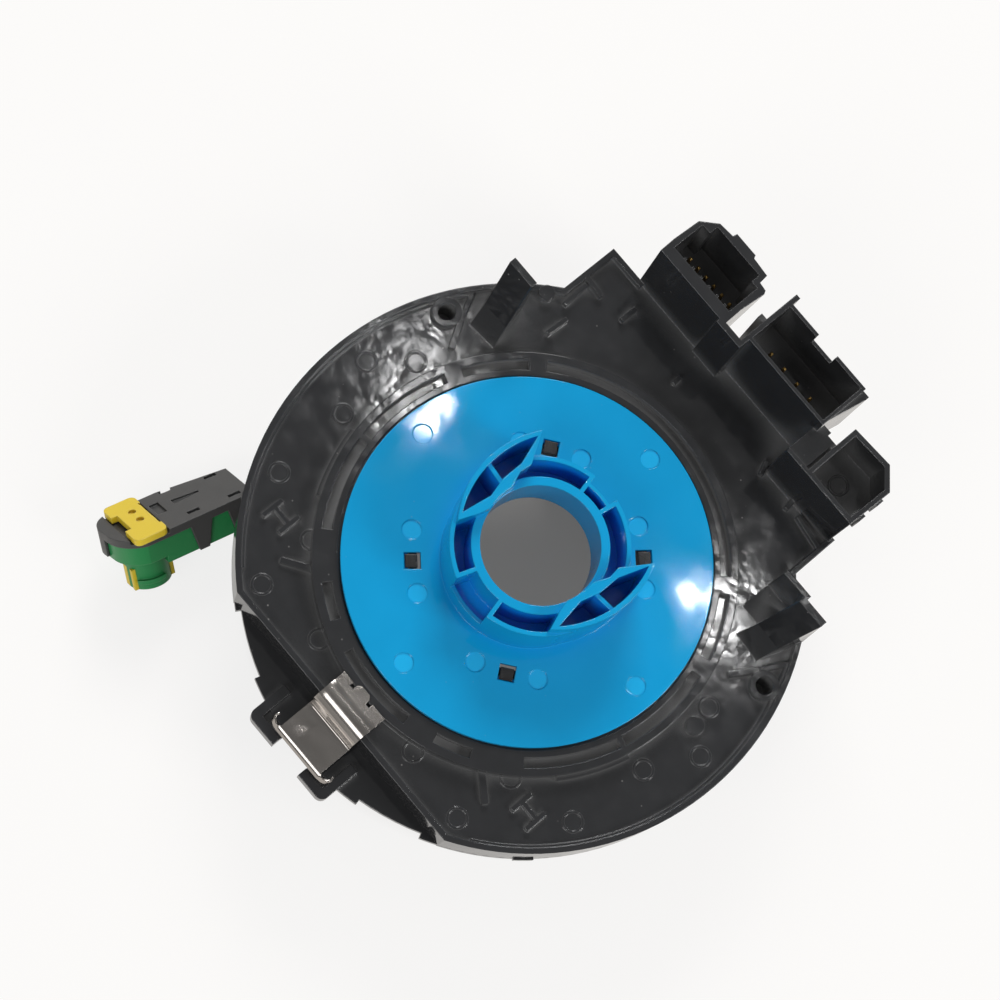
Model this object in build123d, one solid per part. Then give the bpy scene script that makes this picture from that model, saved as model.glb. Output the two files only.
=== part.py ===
from build123d import *
from math import cos, pi, radians, sin, tan
import os

# Steering clock spring, in millimetres. +Z points towards the steering column, and +Y towards the
# stator's plug sockets. The origin is on the axis, half way along the steering-shaft bore.

# Heights
FLANGE_TOP = -7.4
FLANGE_T = 1.2
COLLAR_TOP = FLANGE_TOP - 0.9
RIM_TOP = FLANGE_TOP - 2.3
FLOOR = FLANGE_TOP - 3.8
FLOOR_T = 1.2
CASE_BOTTOM = FLANGE_TOP - 10.7
COVER_T = 1.5
DRUM_END = FLANGE_TOP - 17.0
BASE = FLANGE_TOP - 33.2
HUB_TOP = FLANGE_TOP + 12.4
WEB_BOTTOM = FLANGE_TOP + 2.5
WEB_TOP = FLANGE_TOP + 3.7
LOBE_TOP = FLANGE_TOP + 15.5
POST_TOP = FLANGE_TOP + 11.9
SOCKET_TOP = FLANGE_TOP + 15.5
SOCKET_FLOOR = FLANGE_TOP + 3.0
BOX_TOP = FLANGE_TOP + 12.2
BOX_FLOOR = FLANGE_TOP + 3.0

# Case
CASE_R = 52.5
CORNER_Y = 33.6
WALL = 1.1
LEDGE = 0.6
COLLAR_R = 39.0
CLIP_ROOM = 5.1
CHORD_Y = -COLLAR_R - CLIP_ROOM
SLOT_IN = 35.6
SLOT_OUT = 37.5
SLOT_DEPTH = 2.0
LIP_IN = 23.2
LIP_T = 1.3
DRUM_IN = 41.0
DRUM_T = 1.3
FIT = 0.4

# Bracket arms
ARM_REACH = 3.0
ARM_T = 1.9
ARM_RISE = 1.5
ARM_ROUND = 1.5
ARM_GAP = 2.9

# Spring clip
CLIP_W = 11.0
CLIP_T = 0.5

# Cancel sleeve
FLANGE_R = 34.0
BORE_R = 10.8
TUBE_R = 12.4
HUB_R = 16.2
HUB_T = 0.8
LOBE_RELIEF = 0.25
WINDOW_R = 21.1
WINDOW = 3.05
HOOK_LEDGE = 0.6
WINDOW_ANGLES = (51.7, 128.3, 231.7, 308.3)

# Rotor
ROTOR_BORE = 20.2
ROTOR_DRUM = 21.6
ROTOR_T = 1.5
TOWER = (-13.0, 13.0, 22.5, 36.0)
TOWER_WALL = 1.2
TOWER_DEPTH = 9.0
ROTOR_PIN_TIP = BASE + 4.8
ROTOR_PIN_END = BASE + 11.4
DRIVE_X = 22.0
DRIVE_Y = -24.5
DRIVE_R = 4.0
DRIVE_BORE = 2.4

# Screw bosses and posts
BOSS_X = 44.75
BOSS_Y = 19.1
BOSS_R = 2.8
SCREW_R = 1.7
SCREW_DEPTH = 7.4

# Plug sockets
SOCKET_1 = [(-27.1, 51.8), (-9.5, 51.8), (-9.6, 55.8), (-9.1, 61.3), (-9.5, 62.0), (-11.2, 62.2),
            (-11.4, 64.1), (-15.3, 64.4), (-15.6, 65.0), (-20.7, 65.0), (-20.9, 64.1),
            (-24.1, 63.8), (-26.9, 61.0), (-27.2, 55.2)]
SOCKET_LEAN = 1.2
SOCKET_2 = (-5.4, 15.7, 53.5, 64.3)
BOX_3 = [(20.0, 46.4), (32.4, 46.4), (32.7, 56.1), (28.9, 59.6), (20.0, 59.1)]
BOX_WALL = 1.0
SHELF_L = 5.0
PIN_PITCH_1 = 2.2
PIN_COUNT_1 = 6
PIN_X_1 = -23.1
PIN_Y_1 = 57.5
PIN_PITCH_2 = 3.6
PIN_COUNT_2 = 4
PIN_X_2 = -0.3
PIN_Y_2 = 57.4
PIN = 0.64
PIN_TIP = SOCKET_FLOOR + 6.5
LEAD_TOP = FLANGE_TOP - 6.7
LEAD_PLAN = [(-25.0, 44.5), (14.0, 44.5), (14.0, 62.6), (-3.8, 62.6), (-3.8, 50.3), (-11.6, 50.3),
             (-11.6, 61.1), (-25.0, 61.1)]

# Airbag plug and its lead
PLUG_AT = (-52.95, -51.55, FLANGE_TOP - 18.9)
PLUG_ACROSS = Vector(0.72, -0.02, 0.69).normalized()
PLUG_ALONG = Vector(0.21, 0.96, -0.18).normalized()
PLUG_W = 12.7
PLUG_L = 26.0
PLUG_TAPER = 2.1
LOCK = (1.2, 7.8)
LOCK_HALF = 7.0
COVER_PLATE = 1.6
PLUG_SKIRT = 0.6
BODY_BOTTOM = -7.2
NOSE_BOTTOM = -5.8
SPIGOT_R = 4.2
SPIGOT_L = 5.1
SPIGOT_Y = 4.9
LEAD_R = 1.3
LEAD_Z = -4.4
LEAD_Y = 29.2
GLAND_L = 3.0
GLAND_R = 2.4


def box(x0, x1, y0, y1, z0, z1):
    """Upright block between two opposite corners."""
    return Pos((x0 + x1) / 2, (y0 + y1) / 2, (z0 + z1) / 2) * Box(x1 - x0, y1 - y0, z1 - z0)


def prism(points, z0, z1):
    """Upright prism on a closed polygon."""
    face = make_face(Polyline(*points, close=True))
    return Pos(0, 0, z0) * extrude(face, amount=z1 - z0)


def disc(r, z0, z1, x=0.0, y=0.0):
    """Upright cylinder."""
    return Pos(x, y, (z0 + z1) / 2) * Cylinder(r, z1 - z0)


def ring(r_in, r_out, z0, z1, x=0.0, y=0.0):
    """Upright tube."""
    return disc(r_out, z0, z1, x, y) - disc(r_in, z0, z1, x, y)


def arc_bar(r_in, r_out, a0, a1, z0, z1):
    """Part of a tube between two angles in degrees."""
    profile = Plane.XZ * make_face(Polyline((r_in, z0), (r_out, z0), (r_out, z1), (r_in, z1), close=True))
    return Rot(0, 0, a0) * revolve(profile, Axis.Z, revolution_arc=a1 - a0)


def bar(start, end, width, z0, z1):
    """Straight upright rib between two points of the plan."""
    a = Vector(*start)
    b = Vector(*end)
    along = b - a
    middle = (a + b) * 0.5
    turn = Vector(1, 0).get_signed_angle(along) if abs(along.Y) > 1e-9 else 0.0
    return Pos(middle.X, middle.Y, (z0 + z1) / 2) * Rot(0, 0, turn) * Box(along.length, width, z1 - z0)


def mirrored(shape):
    """The shape and its image on the other side of the YZ plane."""
    return shape + mirror(shape, Plane.YZ)


def case_plan(inset):
    """Plan of the case, drawn in from its outside by the given amount."""
    rim = Circle(CASE_R - inset)
    rim -= Pos(0, CHORD_Y + inset - 20) * Rectangle(120, 40)
    rim -= Pos(43.1 - inset, CORNER_Y + 20 - inset) * Rectangle(20, 40)
    platform = make_face(Polyline(
        (-34.7 + inset, 30), (-34.7 + inset, 51.8 - inset), (-26.0, 51.8 - inset), (-26.0, 53.0 - inset),
        (-5.4 + inset, 53.0 - inset), (-5.4 + inset, 54.6 - inset), (15.7 - inset, 54.6 - inset),
        (15.7 - inset, 47.5 - inset), (33.1 - inset, 47.5 - inset), (33.1 - inset, 30), close=True))
    return rim + platform


def make_case():
    """Stator case: floor, rim, slotted ring, bosses, posts, platform and plug sockets."""
    case = Pos(0, 0, CASE_BOTTOM) * extrude(case_plan(0), amount=RIM_TOP - CASE_BOTTOM)
    case -= Pos(0, 0, FLOOR) * extrude(case_plan(WALL), amount=10)
    case -= Pos(0, 0, CASE_BOTTOM) * extrude(case_plan(WALL), amount=FLOOR - FLOOR_T - CASE_BOTTOM)
    case -= disc(COLLAR_R - 1, CASE_BOTTOM, RIM_TOP)
    collar = Plane.XZ * make_face(Polyline(
        (LIP_IN, FLANGE_TOP - FLANGE_T - FIT - LIP_T), (SLOT_IN - 0.8, FLANGE_TOP - FLANGE_T - FIT - LIP_T),
        (SLOT_IN - 0.8, FLOOR - FLOOR_T), (COLLAR_R + 1.5, FLOOR - FLOOR_T), (COLLAR_R + 1.5, FLOOR),
        (COLLAR_R, FLOOR), (COLLAR_R, COLLAR_TOP), (FLANGE_R + FIT, COLLAR_TOP),
        (FLANGE_R + FIT, FLANGE_TOP - FLANGE_T - FIT), (LIP_IN, FLANGE_TOP - FLANGE_T - FIT), close=True))
    case += revolve(collar, Axis.Z)
    for start, end in ((-102.6, -77.4), (-68, -57), (-42, -14.2), (-12.6, 16.4), (21.6, 41.2), (46.4, 133.6),
                       (138.8, 158.4), (163.6, 192.6), (194.2, 222), (237, 248)):
        case -= arc_bar(SLOT_IN, SLOT_OUT, start, end, COLLAR_TOP - SLOT_DEPTH, COLLAR_TOP)
    case += case_features()
    case += socket_1() + socket_2() + shelf() + box_3()
    for side in (-1, 1):
        case -= disc(SCREW_R, RIM_TOP - SCREW_DEPTH, RIM_TOP, side * BOSS_X, BOSS_Y)
    lead_room = offset(make_face(Polyline(*LEAD_PLAN, close=True)), FIT)
    case -= Pos(0, 0, CASE_BOTTOM) * extrude(lead_room, amount=LEAD_TOP + FIT - CASE_BOTTOM)
    for pin in pins_1() + pins_2():
        case -= pin
    return case


def case_features():
    """Bosses, posts, ribs and marks that stand on the case floor."""
    half = disc(BOSS_R, CASE_BOTTOM, RIM_TOP, BOSS_X, BOSS_Y)
    half += bar((BOSS_X, BOSS_Y), (48.0, 20.4), 1.0, FLOOR, RIM_TOP - 0.4)
    half += bar((44.4, BOSS_Y), (41.4, 25.0), 1.0, FLOOR, RIM_TOP - 0.6)
    half += bar((42.0, 15.4), (39.0, 20.4), 1.2, FLOOR, FLOOR + 1.0)
    half += bar((28.3, -30.9), (23.5, -34.2), 1.2, FLOOR, FLOOR + 1.0)
    half += bar((32.2, -26.6), (32.2, -31.3), 0.9, FLOOR, FLOOR + 1.1)
    half += bar((36.4, -27.0), (36.4, -31.6), 0.9, FLOOR, FLOOR + 1.1)
    half += bar((32.2, -28.9), (36.4, -28.9), 0.9, FLOOR, FLOOR + 1.1)
    half += arc_bar(COLLAR_R - 0.2, COLLAR_R + 0.8, -33, -13, FLOOR, RIM_TOP)
    half += arc_bar(CASE_R - WALL - LEDGE, CASE_R - WALL + 0.2, -52, 30, FLOOR, FLOOR + 0.8)
    for x, y in ((42, -8), (46.9, 1.7), (41.2, 8.8), (40.8, -24), (27.7, -27.5), (27, CHORD_Y + 4.6),
                 (13, CHORD_Y + 6.1)):
        half += ring(1.6, 2.0, FLOOR, FLOOR + 0.15, x, y)
    foot = [(34.4, 21.8), (40.4, 21.3), (43.6, 31.1), (36.8, 31.1)]
    knee = [(35.4, 25.0), (41.2, 24.8), (43.4, 31.1), (36.8, 31.1)]
    head = [(36.8, 29.8), (42.8, 29.8), (42.8, 31.1), (36.8, 31.1)]
    levels = [Pos(0, 0, z) * make_face(Polyline(*plan, close=True))
              for z, plan in ((FLOOR, foot), (FLANGE_TOP, knee), (POST_TOP, head))]
    half += loft(levels, ruled=True) & disc(CASE_R + 0.4, FLOOR, POST_TOP)
    both = mirrored(half)
    fin = [Pos(34.5, y, z) * Rectangle(6.2, 1.0) for y, z in ((33.1, FLOOR), (31.5, POST_TOP))]
    both += loft(fin, ruled=True)
    both += disc(1.75, FLOOR, FLOOR + 1.2, 42.0, 4.4)
    both += disc(1.5, FLOOR, FLOOR + 1.6, -36.0, 36.2)
    both += bar((-32.6, 37.4), (-32.3, 43.2), 0.9, FLOOR, RIM_TOP)
    both += bar((-33.8, 43.9), (-29.1, 44.2), 0.9, FLOOR, RIM_TOP)
    both += bar((-23.4, 43.9), (-23.4, 47.5), 0.9, FLOOR, RIM_TOP)
    both += bar((-8.3, 43.6), (-8.2, 45.6), 0.8, FLOOR, RIM_TOP - 0.4)
    both += bar((-30.1, 35.9), (-29.9, 31.2), 0.9, FLOOR, RIM_TOP)
    both += bar((22.5, 44.3), (22.9, 46.6), 0.9, FLOOR, RIM_TOP)
    both += bar((13.9, 45.0), (15.1, 47.6), 0.9, FLOOR, RIM_TOP)
    both += bar((25.3, 44.1), (32.7, 45.2), 0.9, FLOOR, RIM_TOP)
    return both


def socket_1_block(z0, z1):
    """Solid block of the left socket, whose right side leans in towards the wheel side."""
    foot = [(x - SOCKET_LEAN if x > -12 else x, y) for x, y in SOCKET_1]
    faces = [Pos(0, 0, z) * make_face(Polyline(*plan, close=True))
             for z, plan in ((CASE_BOTTOM - COVER_T, foot), (SOCKET_TOP, SOCKET_1))]
    return loft(faces, ruled=True) & box(-60, 0, 0, 90, z0, z1)


def socket_1():
    """Left plug socket, with a raised key on its far wall and guide ribs on its near wall."""
    x0, y0 = SOCKET_1[0]
    x1 = SOCKET_1[1][0]
    near = y0 + 2.3
    shell = socket_1_block(CASE_BOTTOM, SOCKET_TOP)
    shell -= box(x0 + 1.2, x1 - 1.3, near, y0 + 9.3, SOCKET_FLOOR, SOCKET_TOP)
    shell -= box(x0 + 3.2, x1 - 2.9, y0 + 8.2, y0 + 11.2, SOCKET_FLOOR, SOCKET_TOP)
    shell -= box(x0 + 1.6, x1 - 1.9, y0 - 1.3, y0 + 9.8, CASE_BOTTOM, FLOOR - FLOOR_T)
    shell -= box(x0 + 1.6, x1 - 1.9, near, y0 + 9.8, FLOOR - FLOOR_T, SOCKET_FLOOR - 1.2)
    for i in range(6):
        x = x0 + 3.7 + 2.2 * i
        shell += box(x, x + 0.6, near - 0.1, near + 0.5, SOCKET_FLOOR, SOCKET_TOP - 0.3)
    return shell


def socket_2():
    """Middle plug socket, with a side wing, a corner web, a notched far wall and a corner lug."""
    x0, x1, y0, y1 = SOCKET_2
    shell = box(x0, x1, y0, y1, CASE_BOTTOM, SOCKET_TOP)
    web = [(x1 - 0.2, y0 + 1.0), (x1 + 1.5, y1 - 0.8), (x1 + 1.5, y1), (x1 - 0.2, y1)]
    shell += prism(web, FLOOR, SOCKET_TOP - 1.5)
    shell += box(x0 - 1.5, x0 + 0.2, y0 + 5.3, y0 + 6.3, FLOOR, SOCKET_TOP - 3)
    shell += box(x0, x0 + 1.0, y1 - 0.2, y1 + 1.8, SOCKET_TOP - 4, SOCKET_TOP)
    shell += box(x0 - 5.4, x0 + 0.2, y0 - 2.5, y0 - 1.3, CASE_BOTTOM, SOCKET_TOP)
    shell += box(x1 - 0.9, x1, y0 - 6.1, y0 + 0.2, CASE_BOTTOM, BOX_TOP - 1.0)
    shell += box(x0, x0 + 0.9, y0 - 2.5, y0 + 0.2, CASE_BOTTOM, SOCKET_TOP)
    shell -= box(x0 + 1.0, x1 - 0.7, y0 + 0.7, y1 - 0.7, SOCKET_FLOOR, SOCKET_TOP)
    shell -= box(x0 + 8.2, x0 + 13.3, y1 - 1.5, y1 + 0.5, SOCKET_TOP - 3.5, SOCKET_TOP)
    shell -= box(x0 + 1.1, x1 - 1.1, y0 - 3.0, y1 - 1.1, CASE_BOTTOM, FLOOR - FLOOR_T)
    shell -= box(x0 + 1.1, x1 - 1.1, y0 + 1.1, y1 - 1.1, FLOOR - FLOOR_T, SOCKET_FLOOR - 1.2)
    return shell


def shelf():
    """High shelf between the middle socket and the right box, with a groove along the box."""
    x1, y0 = BOX_3[0]
    x0, y1 = x1 - SHELF_L, y0 + SHELF_L + 3.2
    top = BOX_TOP - 1.0
    shelf = box(x0, x1 + 0.4, y0, y1, CASE_BOTTOM, top)
    shelf += box(x0 + 0.8, x0 + 2.7, y1, y1 + 0.8, CASE_BOTTOM, top)
    shelf += box(x0, x1 + 0.4, y0, y0 + 0.7, top, BOX_TOP)
    shelf -= box(x0 + 1.0, x1 - 1.0, y0 + 1.0, y1 - 1.0, CASE_BOTTOM, top - 1.2)
    return shelf - box(x1 - 0.5, x1, y0 + 1.2, y1 - 1.2, top - 3.0, top)


def box_3():
    """Right open box with a chamfered far corner."""
    shell = prism(BOX_3, CASE_BOTTOM, BOX_TOP)
    room = offset(make_face(Polyline(*BOX_3, close=True)), -BOX_WALL, kind=Kind.INTERSECTION)
    shell -= Pos(0, 0, BOX_FLOOR) * extrude(room, amount=BOX_TOP - BOX_FLOOR)
    shell -= Pos(0, 0, CASE_BOTTOM) * extrude(room, amount=BOX_FLOOR - 1.2 - CASE_BOTTOM)
    shell += ring(1.6, 2.0, BOX_FLOOR, BOX_FLOOR + 0.15, 25.8, 53.0)
    x1, y0 = BOX_3[1]
    for y in (y0 + 2.1, y0 + 6.6):
        shell += box(x1 - 0.1, x1 + 0.7, y, y + 1.5, BOX_TOP - 6, BOX_TOP - 1)
    return shell


def pin(x, y, width):
    """One square terminal with a tapered tip."""
    stem = box(x - width / 2, x + width / 2, y - width / 2, y + width / 2, LEAD_TOP, PIN_TIP)
    return chamfer(stem.faces().sort_by(Axis.Z)[-1].edges(), 0.25)


def pins_1():
    """Terminals of the left socket."""
    return [pin(PIN_X_1 + PIN_PITCH_1 * i, PIN_Y_1, PIN) for i in range(PIN_COUNT_1)]


def pins_2():
    """Terminals of the middle socket."""
    return [pin(PIN_X_2 + PIN_PITCH_2 * i, PIN_Y_2, PIN) for i in range(PIN_COUNT_2)]


def make_lead_block():
    """Block inside the stator that carries the terminals to the flat cable."""
    return prism(LEAD_PLAN, CASE_BOTTOM, LEAD_TOP)


def make_cover():
    """Wheel-side cover: castellated disc, drum wall, connector base and bracket arms."""
    z0 = CASE_BOTTOM - COVER_T
    plate = disc(CASE_R - 0.1, z0, CASE_BOTTOM)
    for start, end in ((-121, -107), (-75, -61), (-34.5, -31.5), (10, 20), (160, 170), (205, 214)):
        plate -= arc_bar(CASE_R - WALL, CASE_R + 2, start, end, z0, CASE_BOTTOM)
    plate += arc_bar(CASE_R - 1, CASE_R + 0.3, -42, -38, z0, CASE_BOTTOM)
    plate += socket_1_block(z0, CASE_BOTTOM)
    plate += prism(BOX_3, z0, CASE_BOTTOM)
    plate += box(SOCKET_2[0], SOCKET_2[1], SOCKET_2[2], SOCKET_2[3], z0, CASE_BOTTOM)
    plate += Pos(0, 0, z0) * extrude(case_plan(0), amount=COVER_T)
    plate -= disc(DRUM_IN, z0 - 1, CASE_BOTTOM + 1)
    plate += ring(DRUM_IN, DRUM_IN + DRUM_T, DRUM_END, FLOOR - FLOOR_T)
    far = -CASE_R - ARM_REACH
    near = CHORD_Y - ARM_GAP
    for outer, tip in ((-11.0, -4.0), (9.4, 3.0)):
        side = -1 if outer < 0 else 1
        inner = outer - side * ARM_T
        plan = [(outer, near), (outer, far), (tip, far), (tip, far + ARM_T), (inner, far + ARM_T),
                (inner, near)]
        arm = prism(plan, z0, CASE_BOTTOM + ARM_RISE)
        corner = arm.edges().filter_by(Axis.Z).sort_by_distance((outer, far, CASE_BOTTOM))[0]
        plate += fillet(corner, ARM_ROUND)
        plate += box(min(inner, tip), max(inner, tip), far + ARM_T, near, z0, z0 + 0.6)
    return plate


def make_clip():
    """Steel spring clip over the flat side of the rim."""
    leaf = FLOOR + CLIP_T / 2
    over = RIM_TOP + CLIP_T / 2 + 0.2
    inner = -COLLAR_R - 0.3
    wall = CHORD_Y
    path = FilletPolyline(
        (inner, leaf), (wall + 2.8, leaf), (wall + 2.2, over + 0.7), (wall + 1.0, over + 0.7),
        (wall + 0.1, over), (wall - 0.8, over + 0.7), (wall - 1.6, over - 0.6), (wall - 2.1, over - 4.2),
        (wall - 9.1, over - 4.4), (wall - 9.7, over - 5.6), radius=0.35)
    sheet = extrude(Plane.YZ * trace(path, CLIP_T), amount=CLIP_W / 2, both=True)
    for x in (-2.8, 2.0):
        sheet -= disc(0.9, FLOOR - 0.2, FLOOR + 0.8, x, inner)
    return sheet


def make_cable():
    """Flat cable wound loosely in the chamber, shown half wound."""
    turns = 4
    steps = 24 * turns
    thick = 0.25
    low, high = 24.0, DRUM_IN - 0.35
    rows = [(low + (high - low) * i / steps, 2 * pi * turns * i / steps) for i in range(steps + 1)]
    inner = Spline(*[(r * cos(a), r * sin(a)) for r, a in rows])
    outer = Spline(*[((r + thick) * cos(a), (r + thick) * sin(a)) for r, a in rows])
    ribbon = make_face([inner, outer, Line(inner @ 0, outer @ 0), Line(inner @ 1, outer @ 1)])
    top = FLOOR - FLOOR_T - 0.3
    return Pos(0, 0, DRUM_END + ROTOR_T + 0.5) * extrude(ribbon, amount=top - DRUM_END - ROTOR_T - 0.5)


def lobe_plan(tip_low, outermost, tip_high, inner):
    """Plan of a cam lobe or of its pocket, on the right side: an outer arc and an inner broken line."""
    return make_face([ThreePointArc(tip_low, outermost, tip_high), Polyline(tip_high, *inner, tip_low)])


def make_sleeve():
    """Cancel sleeve: flange with windows, shaft tube, outer wall with ribs and two hollow cam lobes."""
    f = FLANGE_TOP
    sleeve = disc(FLANGE_R, f - FLANGE_T, f)
    sleeve += disc(HUB_R, f - FLANGE_T, WEB_TOP)
    sleeve += ring(HUB_R - HUB_T, HUB_R, WEB_TOP, HUB_TOP)
    sleeve -= arc_bar(HUB_R - HUB_T - 0.2, HUB_R + 0.5, 80.5, 102.5, WEB_TOP, HUB_TOP)
    sleeve -= arc_bar(HUB_R - HUB_T - 0.2, HUB_R + 0.5, -108.5, -76.5, f + 5.0, HUB_TOP)
    sleeve += arc_bar(13.9, 14.5, 80, 103, WEB_TOP, HUB_TOP)
    for angle in (-109, -76, 80, 103):
        sleeve += Rot(0, 0, angle) * box(TUBE_R - 0.4, HUB_R, -0.4, 0.4, WEB_TOP, HUB_TOP)
    sleeve += ring(BORE_R, TUBE_R, WEB_TOP, HUB_TOP)
    lobe = lobe_plan((12.4, -9.3), (17.6, 2.0), (15.3, 12.9),
                     [(11.8, 7.3), (12.1, 5.0), (10.6, 1.2), (10.3, -3.0), (11.0, -5.6)])
    pocket = lobe_plan((13.0, -7.7), (16.6, 2.0), (15.0, 11.7), [(13.1, 6.1), (13.1, 1.9), (12.1, -1.9)])
    half = Pos(0, 0, f) * extrude(lobe, amount=LOBE_TOP - f)
    half -= disc(BORE_R, f, LOBE_TOP)
    half -= Pos(0, 0, WEB_TOP) * extrude(pocket, amount=LOBE_TOP - WEB_TOP)
    half += Rot(0, 0, 6) * box(12.8, 17.0, -0.4, 0.4, WEB_TOP, LOBE_TOP - 1.0)
    inside = Pos(0, 0, WEB_TOP) * extrude(pocket, amount=HUB_TOP - WEB_TOP)
    sleeve -= inside + mirror(inside, Plane.YZ)
    sleeve += mirrored(half)
    sleeve -= disc(BORE_R, f - FLANGE_T, HUB_TOP)
    sleeve -= disc(BORE_R + LOBE_RELIEF, HUB_TOP, LOBE_TOP)
    sleeve -= disc(HUB_R - HUB_T, f - FLANGE_T, WEB_BOTTOM)
    for angle in WINDOW_ANGLES:
        sleeve -= Rot(0, 0, angle) * box(WINDOW_R - WINDOW / 2, ROTOR_DRUM + 0.3, -WINDOW / 2, WINDOW / 2,
                                         f - FLANGE_T, f)
        sleeve -= Rot(0, 0, angle) * box(WINDOW_R - WINDOW / 2, WINDOW_R + WINDOW / 2, -WINDOW / 2, WINDOW / 2,
                                         f - HOOK_LEDGE, f)
    marks = [(29.7, 0), (0, 29.7), (-29.7, 0), (0, -29.7)]
    marks += [(x, y) for x in (-17.5, 17.5) for y in (-13, 13)]
    marks += [(x, y) for x in (-8, 8) for y in (-19.7, 19.7)]
    for x, y in marks:
        sleeve -= disc(1.8, f - 0.2, f, x, y)
    return sleeve


def make_rotor():
    """Rotor: drum, disc, snap hooks, wheel-side socket and two driving posts."""
    seat = FLANGE_TOP - FLANGE_T
    rotor = ring(ROTOR_BORE, ROTOR_DRUM, DRUM_END, seat)
    rotor += ring(ROTOR_BORE, DRUM_IN - FIT, DRUM_END, DRUM_END + ROTOR_T)
    for angle in WINDOW_ANGLES:
        hook = box(ROTOR_BORE, ROTOR_DRUM, -1.2, 1.2, seat - 0.5, FLANGE_TOP - 0.1)
        hook += box(ROTOR_DRUM - 0.2, WINDOW_R + WINDOW / 2 - 0.2, -1.2, 1.2, FLANGE_TOP - HOOK_LEDGE,
                    FLANGE_TOP - 0.1)
        rotor += Rot(0, 0, angle) * hook
    x0, x1, y0, y1 = TOWER
    wall = TOWER_WALL
    rotor += box(x0, x1, y0, y1, BASE, DRUM_END)
    rotor -= box(x0 + wall, x1 - wall, y0 + wall, y1 - wall, BASE, BASE + TOWER_DEPTH)
    rotor -= box(x0 + wall, x1 - wall, y0 + wall, y1 - wall, BASE + TOWER_DEPTH + wall, DRUM_END - 1.0)
    for side in (-1, 1):
        rotor += ring(DRIVE_BORE, DRIVE_R, BASE, DRUM_END + 0.2, side * DRIVE_X, DRIVE_Y)
    for pin in rotor_pins():
        rotor -= pin
    return rotor


def rotor_pins():
    """Terminals of the wheel-side socket."""
    half = PIN / 2
    return [box(x - half, x + half, y - half, y + half, ROTOR_PIN_TIP, ROTOR_PIN_END)
            for y in (TOWER[2] + 4.7, TOWER[2] + 8.8) for x in (PIN_PITCH_1 * i for i in range(-4, 5))]


def plug_plane():
    """Plane of the airbag plug: X across it, Y from its lock end to its cable end, Z out of its top."""
    return Plane(origin=PLUG_AT, x_dir=PLUG_ACROSS, z_dir=PLUG_ACROSS.cross(PLUG_ALONG))


def plug_plan(inset, rear):
    """Plan of the plug: a round nose, a straight right side and a left side that tapers to the cable end."""
    w = PLUG_W / 2 - inset
    nose = [ThreePointArc((-w, 1.6), (inset * 0.7 - 5.2, inset * 0.7 - 0.8), (-2.6, inset - 1.8)),
            Line((-2.6, inset - 1.8), (0.2, inset - 1.6)),
            ThreePointArc((0.2, inset - 1.6), (4.3 - inset * 0.7, 0.3 + inset * 0.7), (w, 3.6))]
    sides = Polyline((w, 3.6), (w, rear), (PLUG_TAPER - w, rear), (-w, 12.0), (-w, 1.6))
    return make_face([*nose, sides])


def skirt_profile(y0, y1, y2, y3, low):
    """Block across the plug whose side view narrows from y0..y3 at the cover down to y1..y2."""
    view = make_face(Polyline((y0, -COVER_PLATE), (y3, -COVER_PLATE), (y2, low), (y1, low), close=True))
    return extrude(Plane.YZ * view, amount=PLUG_W, both=True)


def lock_legs(clear):
    """The lock's two legs, grown by a clearance on each side."""
    legs = [box(side * 1.7 - 0.6 - clear, side * 1.7 + 0.6 + clear, 4.9 - clear, 6.3 + clear, -4.0 - clear, 0)
            for side in (-1, 1)]
    return legs[0] + legs[1]


def make_plug_cover():
    """Black top cover of the airbag plug, with a trough for the lock and tongues down its sides."""
    w = PLUG_W / 2
    cover = Pos(0, 0, -COVER_PLATE) * extrude(plug_plan(0, PLUG_L), amount=COVER_PLATE)
    cover -= box(-w, w, LOCK[0] - FIT, LOCK[1] + FIT, -0.8, 0)
    cover -= lock_legs(0.3)
    cover -= box(-3.2, 0.7, 8.9, 10.8, -0.5, 0)
    cover -= prism([(-2.1, 12.9), (-0.4, 12.9), (-0.8, 18.4), (-1.4, 18.4)], -0.4, 0)
    for x, y in ((-5.7, 12.4), (-4.0, 21.2), (4.1, 13.2), (4.6, 21.6)):
        cover -= box(x - 0.5, x + 0.5, y, y + 2.5, -0.6, 0)
    shell = extrude(plug_plan(0, PLUG_L) - plug_plan(PLUG_SKIRT, PLUG_L + 1), amount=BODY_BOTTOM)
    cover += shell & skirt_profile(12.4, 13.4, 15.4, 16.9, BODY_BOTTOM)
    cover += shell & skirt_profile(20.3, 21.3, PLUG_L, PLUG_L, BODY_BOTTOM)
    return cover + (shell & box(-5.6, -1.4, -3.0, 2.0, NOSE_BOTTOM + 0.4, -COVER_PLATE))


def make_plug_body():
    """Green housing of the airbag plug, with its round spigot."""
    w = PLUG_W / 2 - PLUG_SKIRT
    plan = plug_plan(PLUG_SKIRT, PLUG_L - 0.3)
    body = Pos(0, 0, BODY_BOTTOM) * extrude(plan, amount=-COVER_PLATE - BODY_BOTTOM)
    body -= box(-w - 1, w + 1, -3.0, 7.0, BODY_BOTTOM, NOSE_BOTTOM)
    body -= box(-3.2, 3.9, 11.3, PLUG_L - 3.3, BODY_BOTTOM + 0.8, -COVER_PLATE)
    body -= lock_legs(0.3)
    body += disc(SPIGOT_R, BODY_BOTTOM - SPIGOT_L, NOSE_BOTTOM, 0, SPIGOT_Y)
    body -= disc(SPIGOT_R - 1.1, BODY_BOTTOM - SPIGOT_L, BODY_BOTTOM, 0, SPIGOT_Y)
    body += arc_ledge()
    return body - spigot_keys()


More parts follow.
